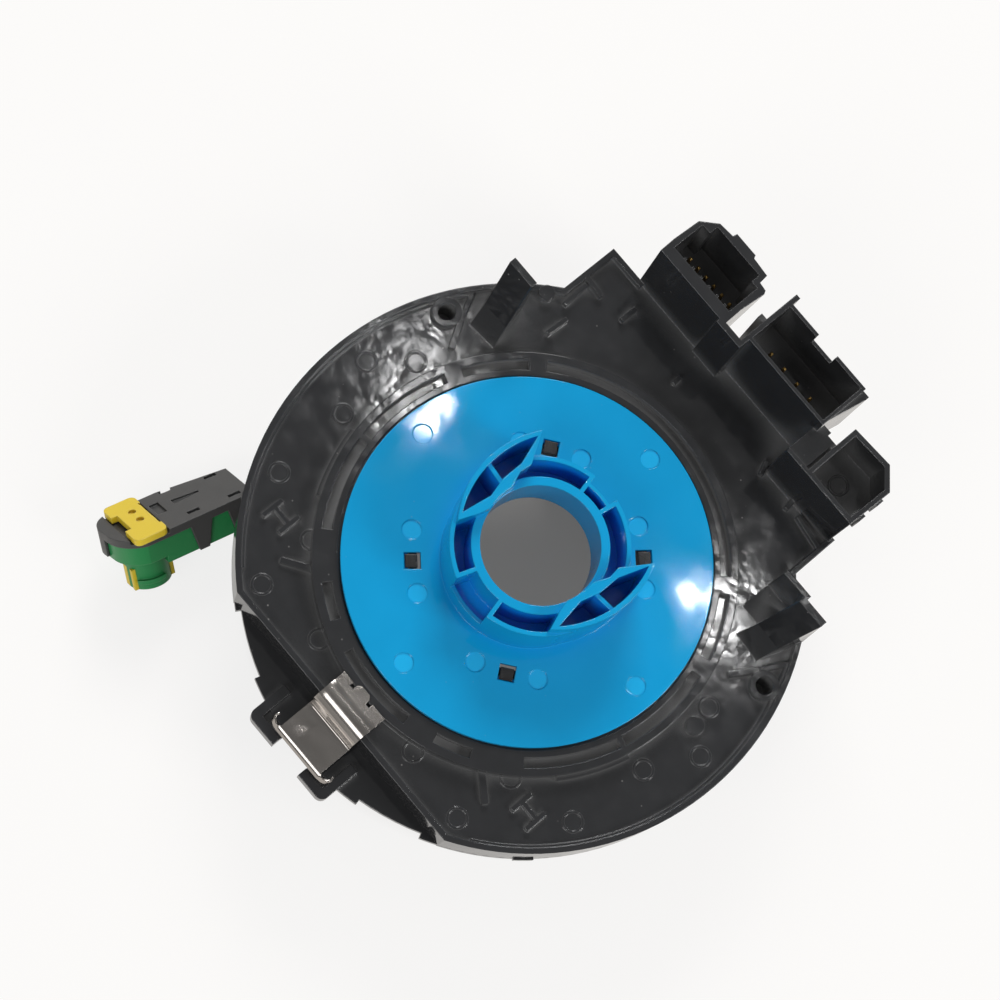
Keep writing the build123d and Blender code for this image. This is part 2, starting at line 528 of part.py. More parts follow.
def arc_ledge():
    """Latch ledge on the side of the spigot."""
    low = BODY_BOTTOM - SPIGOT_L + 1.4
    ledge = Pos(0, SPIGOT_Y, 0) * arc_bar(SPIGOT_R - 0.2, SPIGOT_R + 0.6, -50, 20, low, low + 0.9)
    return ledge


def spigot_keys():
    """The two flat keys that show through the spigot's wall."""
    low = BODY_BOTTOM - SPIGOT_L
    keys = box(-1.0, 0.4, SPIGOT_Y - SPIGOT_R, SPIGOT_Y + SPIGOT_R, low, BODY_BOTTOM - 0.6)
    return keys + box(1.6, 2.4, SPIGOT_Y - SPIGOT_R, SPIGOT_Y + SPIGOT_R, low, BODY_BOTTOM - 0.6)


def make_plug_insert():
    """Yellow keyed core of the spigot."""
    low = BODY_BOTTOM - SPIGOT_L
    core = disc(SPIGOT_R - 1.1, low + 0.8, BODY_BOTTOM, 0, SPIGOT_Y) + spigot_keys()
    for terminal in plug_terminals():
        core -= terminal
    return core


def plug_terminals():
    """The two contact sleeves in the spigot."""
    return [disc(0.75, BODY_BOTTOM - SPIGOT_L + 0.8, BODY_BOTTOM, side * 1.6, SPIGOT_Y) for side in (-1, 1)]


def make_plug_lock():
    """Yellow lock across the front of the plug cover."""
    plate = box(-LOCK_HALF, LOCK_HALF, LOCK[0], LOCK[1], -0.4, 0.9)
    plate = fillet(plate.edges().filter_by(Axis.Z), 1.2)
    plate -= box(-3.2, 2.5, LOCK[0], LOCK[0] + 1.3, -0.4, 0.9)
    plate -= box(-4.2, 4.2, LOCK[1] - 0.5, LOCK[1], 0.3, 0.9)
    for x in (-2.4, 0.8):
        plate -= disc(0.75, 0.3, 0.9, x, 5.2)
    return plate + (lock_legs(0) & box(-9, 9, 0, 9, -4.0, -0.2))


def lead_path():
    """Route of the airbag lead, from the plug's cable end to the socket tower, with its bend radii."""
    plug = plug_plane()
    start = plug.from_local_coords(Vector(0, PLUG_L - 0.3, LEAD_Z))
    low = BASE + GLAND_R + 0.4
    points = [start, start + plug.y_dir * 12, Vector(-41.5, 8.0, low + 0.2), Vector(-38.5, LEAD_Y, low),
              Vector(TOWER[0] - GLAND_L, LEAD_Y, low)]
    radii = []
    for a, b, c in zip(points, points[1:], points[2:]):
        turn = radians((b - a).get_angle(c - b))
        radii.append(0.45 * min((b - a).length, (c - b).length) / tan(turn / 2))
    return points, radii


def make_lead():
    """Airbag lead, a sheathed pair."""
    points, radii = lead_path()
    route = FilletPolyline(*points, radius=radii)
    print("lead bend radii", [round(r, 1) for r in radii], "length", round(route.length, 1))
    section = Plane(origin=route @ 0, z_dir=route % 0) * Circle(LEAD_R)
    return sweep(section, route)


def make_gland():
    """Strain relief where the airbag lead leaves the socket tower."""
    points, _ = lead_path()
    end = points[-1]
    return Pos(end.X + GLAND_L / 2, end.Y, end.Z) * Rot(0, 90, 0) * Cylinder(GLAND_R, GLAND_L)


def write(name, shape):
    """Writes one node."""
    solids = shape.solids() if hasattr(shape, "solids") else [s for one in shape for s in one.solids()]
    node = Compound(children=list(solids)) if len(solids) > 1 else solids[0]
    node.label = name
    export_step(node, "parts/" + name + ".step")


os.makedirs("parts", exist_ok=True)
x0, x1, y0, y1 = TOWER
inset = TOWER_WALL + 0.3
plug = plug_plane()
write("stator_case", make_case())
write("stator_cover", make_cover())
write("stator_lead_block", make_lead_block())
write("pins_1", pins_1())
write("pins_2", pins_2())
write("spring_clip", make_clip())
write("flat_cable", make_cable())
write("cancel_sleeve", make_sleeve())
write("rotor", make_rotor())
write("slip_sheet", ring(ROTOR_DRUM + 0.2, DRUM_IN - FIT - 0.4, DRUM_END + ROTOR_T, DRUM_END + ROTOR_T + 0.2))
write("rotor_pins", rotor_pins())
write("rotor_lead_block", box(x0 + inset, x1 - inset, y0 + inset, y1 - inset, ROTOR_PIN_END, DRUM_END - 1.3))
write("airbag_lead", make_lead())
write("lead_gland", make_gland())
write("plug_cover", plug * make_plug_cover())
write("plug_body", plug * make_plug_body())
write("plug_insert", plug * make_plug_insert())
write("plug_terminals", [plug * terminal for terminal in plug_terminals()])
write("plug_ferrite", plug * box(-3.2, 3.9, 11.3, PLUG_L - 3.3, BODY_BOTTOM + 0.8, -COVER_PLATE))
write("plug_lock", plug * make_plug_lock())
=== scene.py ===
# %% [markdown]
# # Steering clock spring
# A clock spring joins the wiring of a steering wheel to the wiring of the column. Its exact solids come
# from the CAD frame and stay as they are. This file gives them their finishes, makes only the folded
# spring clip and the soft airbag lead anew, and lights the part on a plain pale floor.

# %% Load the frame
import bpy
from math import radians
from mathutils import Matrix, Vector


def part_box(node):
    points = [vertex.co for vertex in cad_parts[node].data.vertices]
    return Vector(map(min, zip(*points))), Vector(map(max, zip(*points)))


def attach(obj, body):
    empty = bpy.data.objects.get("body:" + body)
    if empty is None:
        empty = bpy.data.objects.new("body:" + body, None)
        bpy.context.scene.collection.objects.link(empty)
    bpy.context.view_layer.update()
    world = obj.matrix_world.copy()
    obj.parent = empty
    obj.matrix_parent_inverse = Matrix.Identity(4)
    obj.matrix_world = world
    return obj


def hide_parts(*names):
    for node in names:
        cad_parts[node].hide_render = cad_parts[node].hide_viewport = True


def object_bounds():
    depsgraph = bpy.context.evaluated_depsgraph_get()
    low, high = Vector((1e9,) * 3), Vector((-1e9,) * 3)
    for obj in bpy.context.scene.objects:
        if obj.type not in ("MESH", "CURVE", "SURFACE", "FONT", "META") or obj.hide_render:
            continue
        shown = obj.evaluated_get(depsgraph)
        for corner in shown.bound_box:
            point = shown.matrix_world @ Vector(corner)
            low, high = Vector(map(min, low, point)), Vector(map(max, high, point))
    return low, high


MM = 0.001
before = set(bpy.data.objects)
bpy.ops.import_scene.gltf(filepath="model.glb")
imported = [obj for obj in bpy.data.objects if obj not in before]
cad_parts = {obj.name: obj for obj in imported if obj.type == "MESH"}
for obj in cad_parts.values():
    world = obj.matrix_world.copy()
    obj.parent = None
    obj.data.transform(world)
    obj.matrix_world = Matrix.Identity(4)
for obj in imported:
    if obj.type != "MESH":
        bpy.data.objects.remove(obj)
cad_low, cad_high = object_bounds()
print("nodes", len(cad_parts), "CAD box", [round(v, 4) for v in cad_high - cad_low])

# %% [markdown]
# A material in Blender is a tree of nodes joined by wires. Placing each node and drawing each wire is a
# line of code of its own, and most of those lines look alike. A few helpers take that up: one places a
# node and sets its values, one draws a list of wires, and two make the small nodes that come back most
# often. A Mix node keeps one set of sockets for each kind of data, and the colours have the numbers here.

# %% Short ways to place and join shader nodes
MIX_FIRST = 6
MIX_SECOND = 7
MIX_RESULT = 2


def place(tree, kind, **values):
    """Adds a node. Names that match an input socket set it, and other names set a property."""
    node = tree.nodes.new(kind)
    for name, value in values.items():
        socket = node.inputs.get(name.replace("_", " "))
        if socket is None:
            setattr(node, name, value)
        else:
            socket.default_value = value
    return node


def join(tree, *wires):
    """Draws wires, each given as a node, its output, the next node and its input."""
    for source, output, target, socket in wires:
        tree.links.new(source.outputs[output], target.inputs[socket])


def scaled(tree, factor):
    """Adds a Math node that multiplies its first value by a number."""
    node = place(tree, "ShaderNodeMath", operation="MULTIPLY")
    node.inputs[1].default_value = factor
    return node


def mix_colours(tree, second, first=None):
    """Adds a Mix node for two colours. The first may come by a wire instead."""
    node = place(tree, "ShaderNodeMix", data_type="RGBA")
    node.inputs[MIX_SECOND].default_value = (*second, 1)
    if first:
        node.inputs[MIX_FIRST].default_value = (*first, 1)
    return node


print("helpers", [helper.__name__ for helper in (place, join, scaled, mix_colours)])

# %% [markdown]
# Nearly every solid here is a plastic moulding. A moulding shows its tool: a fine spark-eroded grain,
# slow waves where the melt cooled, corners that are never quite sharp, and a little dust. Two painted
# tones come with it: corners are painted paler, as wear mixed with a painted highlight, and hollows take
# a colour painted in place of their shade. Each effect could be drawn again in every material. It is a
# node group instead, built once with named inputs, so the finishes below differ only in how much of each
# effect they take.

# %% A way to start a node group
def new_group(name, inputs, outputs):
    """Starts a node group with number inputs and typed outputs."""
    tree = bpy.data.node_groups.new(name, "ShaderNodeTree")
    for label, value in inputs.items():
        socket = tree.interface.new_socket(label, in_out="INPUT", socket_type="NodeSocketFloat")
        socket.default_value = value
    for label, kind in outputs.items():
        tree.interface.new_socket(label, in_out="OUTPUT", socket_type=kind)
    return tree, tree.nodes.new("NodeGroupInput"), tree.nodes.new("NodeGroupOutput")


# %% Corner group: a rounded normal and a mask of the corners
# The mask compares the rounded normal with the true one: they agree on a face and part at a corner.
corner, given, made = new_group("Moulded corner", {"Radius": 0.0003},
                                {"Edge": "NodeSocketFloat", "Normal": "NodeSocketVector"})
bevel = place(corner, "ShaderNodeBevel", samples=6)
flat = place(corner, "ShaderNodeNewGeometry")
match = place(corner, "ShaderNodeVectorMath", operation="DOT_PRODUCT")
mask = place(corner, "ShaderNodeMapRange", From_Min=0.99, From_Max=0.86)
join(corner,
     (given, "Radius", bevel, "Radius"),
     (bevel, "Normal", match, 0),
     (flat, "True Normal", match, 1),
     (match, "Value", mask, "Value"),
     (mask, "Result", made, "Edge"),
     (bevel, "Normal", made, "Normal"))
print("group", corner.name)

# %% Grain group: fine tool grain and slow cooling waves
grain, given, made = new_group("Moulded grain", {"Fineness": 3500.0, "Wave size": 90.0},
                               {"Grain": "NodeSocketFloat", "Waves": "NodeSocketFloat"})
where = place(grain, "ShaderNodeTexCoord")
fine = place(grain, "ShaderNodeTexNoise", Detail=3.0, Roughness=0.6)
slow = place(grain, "ShaderNodeTexNoise", Detail=2.0, Roughness=0.5)
join(grain,
     (where, "Object", fine, "Vector"),
     (given, "Fineness", fine, "Scale"),
     (where, "Object", slow, "Vector"),
     (given, "Wave size", slow, "Scale"),
     (fine, "Fac", made, "Grain"),
     (slow, "Fac", made, "Waves"))
print("group", grain.name)

# %% Hollow group: how closely walls of its own piece surround a point, for colours painted in place of shade
hollow, given, made = new_group("Painted hollow tone", {"Reach": 0.008}, {"Depth": "NodeSocketFloat"})
sky = place(hollow, "ShaderNodeAmbientOcclusion", samples=8, only_local=True)
depth = place(hollow, "ShaderNodeMapRange", From_Min=0.7, From_Max=0.2)
join(hollow,
     (given, "Reach", sky, "Distance"),
     (sky, "AO", depth, "Value"),
     (depth, "Result", made, "Depth"))
print("group", hollow.name)

# %% Dust group: sparse pale specks
# The specks are the middles of cells, and a slow noise keeps them to a few patches.
dust, given, made = new_group("Dust", {"Spacing": 420.0}, {"Specks": "NodeSocketFloat"})
where = place(dust, "ShaderNodeTexCoord")
cells = place(dust, "ShaderNodeTexVoronoi")
speck = place(dust, "ShaderNodeMapRange", From_Min=0.085, From_Max=0.04)
patch = place(dust, "ShaderNodeTexNoise", Scale=150.0, Detail=1.0)
thick = place(dust, "ShaderNodeMapRange", From_Min=0.52, From_Max=0.66)
both = place(dust, "ShaderNodeMath", operation="MULTIPLY")
join(dust,
     (where, "Object", cells, "Vector"),
     (given, "Spacing", cells, "Scale"),
     (cells, "Distance", speck, "Value"),
     (where, "Object", patch, "Vector"),
     (patch, "Fac", thick, "Value"),
     (speck, "Result", both, 0),
     (thick, "Result", both, 1),
     (both, "Value", made, "Specks"))
print("group", dust.name)

# %% [markdown]
# A moulded finish mixes its body colour with a slightly paler one by the slow waves, and carries dust.
# In hollows it turns to a colour painted in place of shade: paler on the case, a painted light, and
# deeper on the sleeve and plug, a painted shade. On corners it turns paler, partly rubbing and partly a
# painted highlight. The same waves also lift the surface by a few hundredths of a millimetre, which
# breaks a lamp's reflection into the bright, wet-looking streaks of polished plastic. A flat, even
# gloss would mirror the lamps as clean squares.
# The ejector marks of the sleeve are paler discs. Their floors all lie at one height, so a mask by
# height finds them, and no disc has to be placed by hand.

# %% Values that all plastics share
PLASTIC_IOR = 1.5
DUST_COLOUR = (0.32, 0.31, 0.3)
MARK_BAND = 0.06 * MM
MARK_SHARE = 0.9


def new_material(name):
    """Starts a material, and gives it back with its node tree and its shader."""
    material = bpy.data.materials.new(name)
    material.use_nodes = True
    return material, material.node_tree, material.node_tree.nodes["Principled BSDF"]


def pale_marks(tree, rub_and_highlight, height):
    """Adds the ejector marks, whose floors lie at one height, to the paler corners, partly rubbed and
    partly a painted highlight.
    """
    where = place(tree, "ShaderNodeTexCoord")
    parts = place(tree, "ShaderNodeSeparateXYZ")
    level = place(tree, "ShaderNodeMath", operation="COMPARE")
    level.inputs[1].default_value = height
    level.inputs[2].default_value = MARK_BAND
    pale = place(tree, "ShaderNodeMath", operation="MULTIPLY_ADD")
    pale.inputs[1].default_value = MARK_SHARE
    join(tree,
         (where, "Object", parts, "Vector"),
         (parts, "Z", level, 0),
         (level, "Value", pale, 0),
         (rub_and_highlight, "Value", pale, 2))
    return pale


print("index of refraction of the plastics", PLASTIC_IOR)


# %% The moulded finish
def moulded(name, body, crests, rubbed_and_highlit, rough, painted_hollow_colour=None, radius=0.0003, fineness=3500.0,
            grain_height=0.00001, wave_size=90.0, wave_height=0.0, edge_share=0.5, dusty=0.0,
            mirror=0.5, mark_height=None):
    """Moulded plastic. Colours are linear RGB, rough is the lowest and highest roughness, and
    fineness and wave_size count the grains and waves in a metre."""
    material, tree, shader = new_material(name)
    shader.inputs["IOR"].default_value = PLASTIC_IOR
    shader.inputs["Specular IOR Level"].default_value = mirror
    edges = place(tree, "ShaderNodeGroup", node_tree=corner, Radius=radius)
    surface = place(tree, "ShaderNodeGroup", node_tree=grain, Fineness=fineness, Wave_size=wave_size)
    inside = place(tree, "ShaderNodeGroup", node_tree=hollow)
    specks = place(tree, "ShaderNodeGroup", node_tree=dust)
    tint = mix_colours(tree, crests, first=body)
    # Hollows take a colour painted in place of their shade: paler on the case, a painted light, and
    # deeper on the sleeve and plug, a painted shade.
    shaded = mix_colours(tree, painted_hollow_colour or body)
    # Corners turn paler, partly as rubbing and partly as a painted highlight.
    worn_and_highlit = mix_colours(tree, rubbed_and_highlit)
    dusted = mix_colours(tree, DUST_COLOUR)
    rub_and_highlight = scaled(tree, edge_share)
    amount = scaled(tree, dusty)
    gloss = place(tree, "ShaderNodeMapRange", interpolation_type="SMOOTHSTEP",
                  From_Min=0.3, From_Max=0.7, To_Min=rough[0], To_Max=rough[1])
    swell = place(tree, "ShaderNodeBump", Strength=1.0, Distance=wave_height)
    bump = place(tree, "ShaderNodeBump", Strength=0.5, Distance=grain_height)
    join(tree, (edges, "Edge", rub_and_highlight, 0), (specks, "Specks", amount, 0))
    if mark_height is not None:
        rub_and_highlight = pale_marks(tree, rub_and_highlight, mark_height)
    join(tree,
         (surface, "Waves", tint, "Factor"),
         (tint, MIX_RESULT, shaded, MIX_FIRST),
         (inside, "Depth", shaded, "Factor"),
         (shaded, MIX_RESULT, worn_and_highlit, MIX_FIRST),
         (rub_and_highlight, "Value", worn_and_highlit, "Factor"),
         (worn_and_highlit, MIX_RESULT, dusted, MIX_FIRST),
         (amount, "Value", dusted, "Factor"),
         (dusted, MIX_RESULT, shader, "Base Color"),
         (surface, "Waves", gloss, "Value"),
         (gloss, "Result", shader, "Roughness"),
         (surface, "Waves", swell, "Height"),
         (edges, "Normal", swell, "Normal"),
         (surface, "Grain", bump, "Height"),
         (swell, "Normal", bump, "Normal"),
         (bump, "Normal", shader, "Normal"))
    return material


def dress(material, *nodes):
    """Gives a finish to CAD nodes."""
    for node in nodes:
        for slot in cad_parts[node].material_slots:
            slot.material = material
        print(material.name, "on", node)


# %% [markdown]
# One black for all would make the part look like a single block. Three are told apart by eye: the case
# is polished and mirrors the lamps, the rotor under it is darker and duller, and the plug's cover is a
# coarse dark grey. The sleeve is the smoothest piece, so it has the lowest grain and the flattest waves.

# %% Black case, rotor and plug cover
# The case's hollow colour is a painted light: its recesses are painted ten times paler than its body.
case_black = moulded("case_black", (0.020, 0.0205, 0.022), (0.027, 0.0275, 0.029), (0.07, 0.07, 0.072),
                     (0.05, 0.12), painted_hollow_colour=(0.20, 0.20, 0.20), grain_height=0.0000015,
                     wave_size=260.0, wave_height=0.00004, dusty=0.6)
rotor_black = moulded("rotor_black", (0.008, 0.008, 0.009), (0.014, 0.014, 0.015), (0.04, 0.04, 0.04),
                      (0.18, 0.32), wave_size=200.0, wave_height=0.00001)
cover_black = moulded("cover_black", (0.05, 0.05, 0.05), (0.06, 0.06, 0.06), (0.12, 0.12, 0.12),
                      (0.35, 0.5), grain_height=0.00003, wave_size=200.0)
dress(case_black, "stator_case", "stator_cover")
dress(rotor_black, "rotor", "lead_gland")
dress(cover_black, "plug_cover")

# %% Blue sleeve
MARK_FLOOR = -7.6 * MM
# The sleeve's hollow colour is a painted shade, a deeper navy in its pockets.
sleeve_blue = moulded("sleeve_blue", (0.001, 0.285, 0.57), (0.002, 0.315, 0.62), (0.01, 0.40, 0.74),
                      (0.03, 0.06), painted_hollow_colour=(0.004, 0.29, 0.80), grain_height=0.0000003,
                      wave_size=130.0, wave_height=0.000012, edge_share=0.4, dusty=0.15, mirror=0.4,
                      mark_height=MARK_FLOOR)
dress(sleeve_blue, "cancel_sleeve")

# %% The plug's green and yellow, and the carriers' grey
# The green and the yellow are painted darker in their hollows, a painted shade.
plug_green = moulded("plug_green", (0.014, 0.24, 0.065), (0.02, 0.25, 0.075), (0.06, 0.36, 0.12),
                     (0.3, 0.42), painted_hollow_colour=(0.006, 0.11, 0.03), fineness=2200.0, grain_height=0.00004)
lock_yellow = moulded("lock_yellow", (0.75, 0.54, 0.02), (0.80, 0.60, 0.04), (0.88, 0.72, 0.16),
                      (0.32, 0.45), painted_hollow_colour=(0.5, 0.3, 0.01), fineness=2200.0, grain_height=0.00004)
carrier_grey = moulded("carrier_grey", (0.12, 0.12, 0.125), (0.16, 0.16, 0.165), (0.25, 0.25, 0.25),
                       (0.4, 0.55))
dress(plug_green, "plug_body")
dress(lock_yellow, "plug_lock", "plug_insert")
dress(carrier_grey, "stator_lead_block", "rotor_lead_block")

# %% [markdown]
# The clip is rolled spring steel. Rolling leaves fine parallel lines, so its grain is a noise that is
# stretched along one axis, where a round noise would look like cast metal. The contacts are gold over
# nickel, the flat cable is copper in film, and the ferrite is sintered. One function makes them all.

# %% The metal finish
SHADE = 0.82


def metal(name, colour, rough, stretch=(1.0, 1.0, 1.0), lines=0.00001, metallic=1.0, radius=0.00015,
          fine=900.0):
    """Metal with fine lines. stretch scales the pattern along each axis, lines is the height of the
    lines in metres, and a radius of 0 keeps the piece's own edges."""
    material, tree, shader = new_material(name)
    shader.inputs["Metallic"].default_value = metallic
    where = place(tree, "ShaderNodeTexCoord")
    turn = place(tree, "ShaderNodeMapping", Scale=stretch)
    drawn = place(tree, "ShaderNodeTexNoise", Scale=fine, Detail=4.0, Roughness=0.6)
    tint = mix_colours(tree, colour, first=[channel * SHADE for channel in colour])
    gloss = place(tree, "ShaderNodeMapRange", From_Min=0.3, From_Max=0.7,
                  To_Min=rough[0], To_Max=rough[1])
    bump = place(tree, "ShaderNodeBump", Strength=0.5, Distance=lines)
    join(tree,
         (where, "Object", turn, "Vector"),
         (turn, "Vector", drawn, "Vector"),
         (drawn, "Fac", tint, "Factor"),
         (tint, MIX_RESULT, shader, "Base Color"),
         (drawn, "Fac", gloss, "Value"),
         (gloss, "Result", shader, "Roughness"),
         (drawn, "Fac", bump, "Height"),
         (bump, "Normal", shader, "Normal"))
    if radius:
        edges = place(tree, "ShaderNodeGroup", node_tree=corner, Radius=radius)
        join(tree, (edges, "Normal", bump, "Normal"))
    return material


# %% Steel, contacts, cable film, ferrite and slip film
clip_steel = metal("clip_steel", (0.40, 0.375, 0.35), (0.16, 0.26), stretch=(0.4, 1.0, 1.0),
                   lines=0.000004, radius=0.0, fine=260.0)
contact_gold = metal("contact_gold", (0.42, 0.27, 0.09), (0.3, 0.45))
cable_film = metal("cable_film", (0.6, 0.36, 0.12), (0.25, 0.4), stretch=(1, 1, 0.05), metallic=0.3)
ferrite = metal("ferrite", (0.05, 0.05, 0.052), (0.45, 0.6), lines=0.00003, metallic=0.4)
slip_film = moulded("slip_film", (0.7, 0.7, 0.67), (0.75, 0.75, 0.72), (0.8, 0.8, 0.78), (0.4, 0.5),
                    radius=0.0001)
dress(contact_gold, "pins_1", "pins_2", "rotor_pins", "plug_terminals")
dress(cable_film, "flat_cable")
dress(ferrite, "plug_ferrite")
dress(slip_film, "slip_sheet")

# %% [markdown]
# The clip is one strip of spring steel, folded over the flat side of the rim: a leaf inside, a round
# bead over the wall, a flat plate outside and a rolled lower edge whose ends curl back. It could be a
# profile drawn in CAD and pulled to its width, but the curled ends and soft folds are hard to get that
# way. On the bench a strip is bent fold by fold, and that is how it is made here: a plane is the first
# leaf, its far edge is extruded along each fold, the folds are rounded with a bevel, and the sheet gets
# its thickness last.

# %% The folds of the clip, as places across the rim and heights
STRIP_LOW, STRIP_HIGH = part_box("spring_clip")
HALF = (STRIP_HIGH.x - STRIP_LOW.x) / 2
SHEET = 0.4 * MM
LEAF_END = STRIP_HIGH.y + 0.6 * MM
TOP = STRIP_HIGH.z + 0.6 * MM
FOLDS_MM = (
    (0.0, -0.4),      # end of the leaf
    (-2.5, -0.35),    # foot of the bead
    (-3.2, 0.0),      # top of the bead, inner side
    (-5.2, 0.0),      # top of the bead, outer side
    (-6.1, -1.1),     # shoulder
    (-6.8, -1.9),     # head of the wall
    (-7.2, -5.7),     # foot of the wall, where the plate begins
    (-14.4, -5.95),   # end of the plate
)
ROUNDS_MM = (0.5, 0.65, 0.9, 0.4, 0.5, 0.45, 0.55)
folds = [(LEAF_END + y * MM, TOP + z * MM) for y, z in FOLDS_MM]
folds.append((STRIP_LOW.y + SHEET, STRIP_LOW.z + SHEET))
PLATE_START = folds[6][0]
PLATE_HEIGHT = folds[7][1]
print("folds", len(folds), "strip", round(HALF * 2 / MM, 1), "mm wide")


# %% Helpers for a mesh in edit mode
def choose(piece, kind, test):
    """Selects only the edges or faces that pass a test of their middle and corners."""
    bpy.ops.object.mode_set(mode="OBJECT")
    mesh = piece.data
    for group in (mesh.vertices, mesh.edges, mesh.polygons):
        for one in group:
            one.select = False
    count = 0
    for one in (mesh.edges if kind == "EDGE" else mesh.polygons):
        corners = [mesh.vertices[i].co for i in one.vertices]
        middle = sum(corners, Vector()) / len(corners)
        if test(middle, corners):
            one.select = True
            count += 1
            for i in one.vertices:
                mesh.vertices[i].select = True
    bpy.ops.object.mode_set(mode="EDIT")
    bpy.ops.mesh.select_mode(type=kind)
    return count


def extrude(x, y, z):
    """Extrudes what is selected and moves it."""
    bpy.ops.mesh.extrude_region_move(TRANSFORM_OT_translate={"value": (x, y, z)})


def near(a, b):
    """Whether two lengths are the same to a hundredth of a millimetre."""
    return abs(a - b) < 0.01 * MM


# %% Bend the strip
bpy.ops.object.select_all(action="DESELECT")
bpy.ops.mesh.primitive_plane_add(size=1.0, location=(0, 0, 0))
clip = bpy.context.object
clip.name = "spring_clip_sheet"
for vertex in clip.data.vertices:
    y, z = folds[0] if vertex.co.y > 0 else folds[1]
    vertex.co = (HALF if vertex.co.x > 0 else -HALF, y, z)
bpy.ops.object.mode_set(mode="EDIT")
for here, there in zip(folds[1:], folds[2:]):
    choose(clip, "EDGE", lambda middle, corners: near(middle.y, here[0]) and near(middle.z, here[1]))
    extrude(0, there[0] - here[0], there[1] - here[1])
print("strip faces", len(folds) - 1)

# %% Curl the ends of the rolled edge
CURL_MM = ((1.0, 0.15), (0.75, 0.35), (0.3, 0.6), (-0.15, 0.65))
ROLLED_BELOW = PLATE_HEIGHT - 0.1 * MM
for side in (-1, 1):
    reach = side * HALF
    for out, along in CURL_MM:
        choose(clip, "EDGE", lambda middle, corners: near(middle.x, reach) and middle.z < ROLLED_BELOW)
        extrude(side * out * MM, along * MM, 0)
        reach += side * out * MM
print("curled ends 2, steps", len(CURL_MM))

# %% Round the folds
for (y, z), radius in zip(folds[1:-1], ROUNDS_MM):
    choose(clip, "EDGE", lambda middle, corners: near(middle.y, y) and near(middle.z, z)
           and near(middle.x, 0) and abs(corners[0].x - corners[1].x) > HALF)
    bpy.ops.mesh.bevel(offset=radius * MM, segments=6, affect="EDGES")
bpy.ops.object.mode_set(mode="OBJECT")
print("rounded", len(ROUNDS_MM), "folds,", len(clip.data.polygons), "faces")

# %% [markdown]
# The leaf ends in a tongue between two small notches, and the plate has a shallow stamped square. They
# could be cut with a second solid, which leaves ragged faces on so thin a sheet. Here the sheet is cut
# with bisect planes, so that the notches are whole faces that can be deleted, and the square is a face
# that can be inset and pushed in.

# %% Cut lines of the notches and the square
TONGUE = (-2.1 * MM, 1.3 * MM)
NOTCH = 0.9 * MM
NOTCH_Y = LEAF_END - 0.9 * MM
STAMP = (-4.3 * MM, -1.4 * MM)
STAMP_Y = (PLATE_START - 4.6 * MM, PLATE_START - 1.5 * MM)
cuts = [((x, 0, 0), (1, 0, 0)) for x in (TONGUE[0] - NOTCH, *TONGUE, TONGUE[1] + NOTCH, *STAMP)]
cuts += [((0, y, 0), (0, 1, 0)) for y in (NOTCH_Y, *STAMP_Y)]
for point, normal in cuts:
    bpy.ops.object.mode_set(mode="EDIT")
    bpy.ops.mesh.select_all(action="SELECT")
    bpy.ops.mesh.bisect(plane_co=point, plane_no=normal)
print("cuts", len(cuts))


# %% Notches in the leaf, and its tongue
def in_notch(middle, corners):
    """Whether a face lies in one of the two notches."""
    left = TONGUE[0] - NOTCH < middle.x < TONGUE[0]
    right = TONGUE[1] < middle.x < TONGUE[1] + NOTCH
    return middle.y > NOTCH_Y and (left or right)


TONGUE_LENGTH = 0.7 * MM
TONGUE_TAPER = 0.6
gone = choose(clip, "FACE", in_notch)
bpy.ops.mesh.delete(type="FACE")
tongue_end = choose(clip, "EDGE", lambda middle, corners: near(middle.y, LEAF_END)
                    and TONGUE[0] < middle.x < TONGUE[1])
extrude(0, TONGUE_LENGTH, 0)
bpy.ops.transform.resize(value=(TONGUE_TAPER, 1, 1))
print("notch faces", gone, "tongue edges", tongue_end)

# %% The stamped square
STAMP_RIM = 0.55 * MM
STAMP_DEPTH = 0.3 * MM
stamped = choose(clip, "FACE", lambda middle, corners: STAMP[0] < middle.x < STAMP[1]
                 and STAMP_Y[0] < middle.y < STAMP_Y[1])
bpy.ops.mesh.inset(thickness=STAMP_RIM, depth=0)
bpy.ops.transform.translate(value=(0, 0, -STAMP_DEPTH))
bpy.ops.mesh.select_all(action="SELECT")
bpy.ops.mesh.remove_doubles(threshold=0.001 * MM)
bpy.ops.mesh.normals_make_consistent(inside=False)
bpy.ops.object.mode_set(mode="OBJECT")
print("stamped faces", stamped)

# %% Turn the sheet's faces up, and give it its thickness
up = sum(1 for face in clip.data.polygons if face.normal.z > 0.5)
down = sum(1 for face in clip.data.polygons if face.normal.z < -0.5)
if down > up:
    clip.data.flip_normals()
sheet = clip.modifiers.new("sheet", "SOLIDIFY")
sheet.thickness = SHEET
sheet.offset = 0
edge = clip.modifiers.new("edge", "BEVEL")
edge.width = 0.06 * MM
edge.segments = 2
edge.limit_method = "ANGLE"
edge.angle_limit = radians(50)
bpy.ops.object.select_all(action="DESELECT")
clip.select_set(True)
bpy.context.view_layer.objects.active = clip
for name in ("sheet", "edge"):
    bpy.ops.object.modifier_apply(modifier=name)
print("clip faces", len(clip.data.polygons))

# %% Smooth shading and finish of the clip
# Weighted normals follow the large faces, so the flat leaf and plate stay flat in a reflection.
bpy.ops.object.shade_smooth_by_angle(angle=radians(35))
level = clip.modifiers.new("level", "WEIGHTED_NORMAL")
level.mode = "FACE_AREA"
level.weight = 100
level.keep_sharp = True
bpy.ops.object.modifier_apply(modifier="level")
clip.data.materials.append(clip_steel)
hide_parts("spring_clip")
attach(clip, "stator")
print("clip rides on the stator")

# %% [markdown]
# The airbag lead is a soft sheathed pair. Its solid is made of straight runs and arcs, which would look
# like bent wire, so a curve takes its place. It leaves the plug, lies level under the disc and turns
# into the strain relief of the wheel-side socket. A NURBS spline bends between its points as a lead does.

